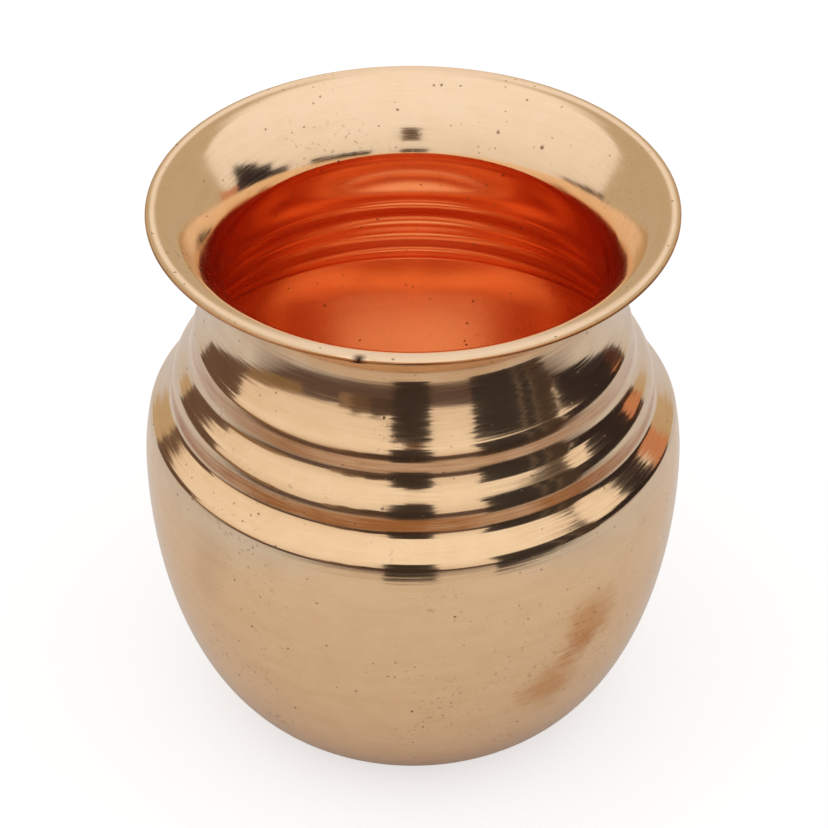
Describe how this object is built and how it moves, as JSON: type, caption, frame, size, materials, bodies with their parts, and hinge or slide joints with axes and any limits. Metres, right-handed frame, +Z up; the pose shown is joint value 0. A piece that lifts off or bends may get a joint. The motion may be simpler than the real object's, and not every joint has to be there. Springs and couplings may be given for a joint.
{
  "type": "lota water vessel",
  "caption": "Round-bellied copper water vessel with a stepped shoulder, hollow neck and wide flared mouth, for holding and pouring water; stands on a flat base.",
  "frame": {"origin": "middle of the flat base, on the surface that the vessel stands on", "axes": "+Z up along the axis of turning, +X and +Y level; the vessel is round, so neither is special"},
  "size_m": [0.093, 0.093, 0.1009],
  "materials": {
    "copper": "sheet copper, turned and buffed bright outside, left bare and orange inside",
    "braze": "copper brazing alloy, filed flush"
  },
  "bodies": {
    "root": {"body": "copper", "shoulder_ring": "copper", "neck_and_mouth": "copper", "lower_braze": "braze", "upper_braze": "braze"}
  },
  "joints": []
}
